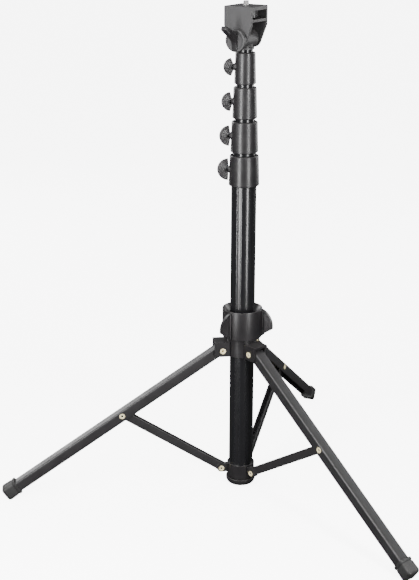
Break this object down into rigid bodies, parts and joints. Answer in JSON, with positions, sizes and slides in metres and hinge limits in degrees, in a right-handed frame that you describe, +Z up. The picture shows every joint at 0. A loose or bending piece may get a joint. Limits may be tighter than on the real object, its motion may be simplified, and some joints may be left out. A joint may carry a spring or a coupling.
{
  "type": "compact tripod",
  "caption": "Compact telescoping tripod with three folding channel legs, a twist-lock ring, lock collars with thumb fins and a tilting camera-screw head.",
  "frame": {"origin": "on the floor, under the middle of the three feet's bounding box", "axes": "+Z up along the mast; leg 1 points to -X, and legs 2 and 3 to either side of +X"},
  "size_m": [0.428, 0.4942, 0.5626],
  "materials": {
    "black_anodised": "black anodised, satin",
    "black_plastic": "black ABS, satin",
    "grey_head": "dark grey glass-filled nylon, fine matt texture",
    "black_steel": "black powder coat",
    "rubber": "matt",
    "brass": "pale brass plate, polished",
    "steel": "zinc plated",
    "wheel_black": "black, knurled rim",
    "nylon": "natural nylon"
  },
  "bodies": {
    "mast": {"mast_tube": "black_anodised", "mast_end_cap": "black_plastic", "brace_collar": "black_plastic", "collar_rivets": "brass", "lock_collar_1": "black_plastic", "brake_pad_1": "nylon"},
    "spider": {"leg_spider": "black_plastic", "spider_rivets": "brass", "grip_collet": "nylon"},
    "twist_ring": {"twist_lock_ring": "black_plastic"},
    "head": {"head_hood": "grey_head", "tilt_nut": "steel", "friction_washers": "nylon"},
    "lever": {"tilt_lever": "grey_head", "tilt_stud": "steel"},
    "screw": {"camera_screw": "steel", "screw_thumbwheel": "wheel_black"},
    "section_2": {"tube_2": "black_anodised", "guide_bush_2": "nylon", "lock_collar_2": "black_plastic", "brake_pad_2": "nylon"},
    "section_3": {"tube_3": "black_anodised", "guide_bush_3": "nylon", "lock_collar_3": "black_plastic", "brake_pad_3": "nylon"},
    "section_4": {"tube_4": "black_anodised", "guide_bush_4": "nylon", "lock_collar_4": "black_plastic", "brake_pad_4": "nylon"},
    "section_5": {"tube_5": "black_anodised", "guide_bush_5": "nylon", "head_neck": "grey_head"},
    "thumb_screw_1": {"thumb_fin_1": "black_plastic", "thumb_stud_1": "steel"},
    "thumb_screw_2": {"thumb_fin_2": "black_plastic", "thumb_stud_2": "steel"},
    "thumb_screw_3": {"thumb_fin_3": "black_plastic", "thumb_stud_3": "steel"},
    "thumb_screw_4": {"thumb_fin_4": "black_plastic", "thumb_stud_4": "steel"},
    "leg_1": {"leg_1": "black_steel", "foot_boot_1": "rubber", "brace_rivet_1": "brass"},
    "brace_1": {"brace_1": "black_steel"},
    "leg_2": {"leg_2": "black_steel", "foot_boot_2": "rubber", "brace_rivet_2": "brass"},
    "brace_2": {"brace_2": "black_steel"},
    "leg_3": {"leg_3": "black_steel", "foot_boot_3": "rubber", "brace_rivet_3": "brass"},
    "brace_3": {"brace_3": "black_steel"}
  },
  "joints": [
    {"name": "brace_1_fold", "type": "hinge", "parent": "mast", "child": "brace_1", "pos_m": [0.04273, 0, 0.02192], "axis": [0, 1, 0], "range_deg": [0, 53.82]},
    {"name": "leg_1_fold", "type": "hinge", "parent": "brace_1", "child": "leg_1", "pos_m": [-0.07367, 0, 0.09716], "axis": [0, 1, 0], "range_deg": [-107.64, 0]},
    {"name": "brace_2_fold", "type": "hinge", "parent": "mast", "child": "brace_2", "pos_m": [0.07798, -0.02035, 0.02192], "axis": [-0.866, -0.5, 0], "range_deg": [0, 53.82]},
    {"name": "leg_2_fold", "type": "hinge", "parent": "brace_2", "child": "leg_2", "pos_m": [0.13618, -0.12115, 0.09716], "axis": [-0.866, -0.5, 0], "range_deg": [-107.64, 0]},
    {"name": "brace_3_fold", "type": "hinge", "parent": "mast", "child": "brace_3", "pos_m": [0.07798, 0.02035, 0.02192], "axis": [0.866, -0.5, 0], "range_deg": [0, 53.82]},
    {"name": "leg_3_fold", "type": "hinge", "parent": "brace_3", "child": "leg_3", "pos_m": [0.13618, 0.12115, 0.09716], "axis": [0.866, -0.5, 0], "range_deg": [-107.64, 0]},
    {"name": "spider_slide", "type": "hinge", "parent": "leg_1", "child": "spider", "pos_m": [0.04273, 0, 0.1724], "axis": [0, 1, 0], "range_deg": [0, 53.82]},
    {"name": "twist_ring_turn", "type": "hinge", "parent": "spider", "child": "twist_ring", "pos_m": [0.06623, 0, 0.1878], "axis": [0, 0, 1], "range_deg": [0, 100]},
    {"name": "section_2_slide", "type": "slide", "parent": "mast", "child": "section_2", "axis": [0, 0, 1], "range_m": [0, 0.3]},
    {"name": "section_3_slide", "type": "slide", "parent": "section_2", "child": "section_3", "axis": [0, 0, 1], "range_m": [0, 0.3]},
    {"name": "section_4_slide", "type": "slide", "parent": "section_3", "child": "section_4", "axis": [0, 0, 1], "range_m": [0, 0.3]},
    {"name": "section_5_slide", "type": "slide", "parent": "section_4", "child": "section_5", "axis": [0, 0, 1], "range_m": [0, 0.3]},
    {"name": "thumb_screw_1_turn", "type": "hinge", "parent": "mast", "child": "thumb_screw_1", "pos_m": [0.05223, 0, 0.38222], "axis": [-1, 0, 0], "range_deg": [0, 270]},
    {"name": "thumb_screw_2_turn", "type": "hinge", "parent": "section_2", "child": "thumb_screw_2", "pos_m": [0.05223, 0, 0.41932], "axis": [-1, 0, 0], "range_deg": [0, 270]},
    {"name": "thumb_screw_3_turn", "type": "hinge", "parent": "section_3", "child": "thumb_screw_3", "pos_m": [0.05223, 0, 0.45642], "axis": [-1, 0, 0], "range_deg": [0, 270]},
    {"name": "thumb_screw_4_turn", "type": "hinge", "parent": "section_4", "child": "thumb_screw_4", "pos_m": [0.05223, 0, 0.49352], "axis": [-1, 0, 0], "range_deg": [0, 270]},
    {"name": "head_tilt", "type": "hinge", "parent": "section_5", "child": "head", "pos_m": [0.06623, 0, 0.52282], "axis": [0.6665, 0.7455, 0], "range_deg": [-25, 90]},
    {"name": "tilt_lever_turn", "type": "hinge", "parent": "head", "child": "lever", "pos_m": [0.05523, -0.0123, 0.52282], "axis": [-0.6665, -0.7455, 0], "range_deg": [0, 270]},
    {"name": "camera_screw_turn", "type": "hinge", "parent": "head", "child": "screw", "pos_m": [0.06623, 0, 0.55782], "axis": [0, 0, 1], "continuous": true}
  ],
  "couplings": [
    {"joint": "leg_1_fold", "follows": "brace_1_fold", "ratio": -2},
    {"joint": "spider_slide", "follows": "brace_1_fold", "ratio": 1},
    {"joint": "brace_2_fold", "follows": "brace_1_fold", "ratio": 1},
    {"joint": "leg_2_fold", "follows": "brace_1_fold", "ratio": -2},
    {"joint": "brace_3_fold", "follows": "brace_1_fold", "ratio": 1},
    {"joint": "leg_3_fold", "follows": "brace_1_fold", "ratio": -2}
  ]
}
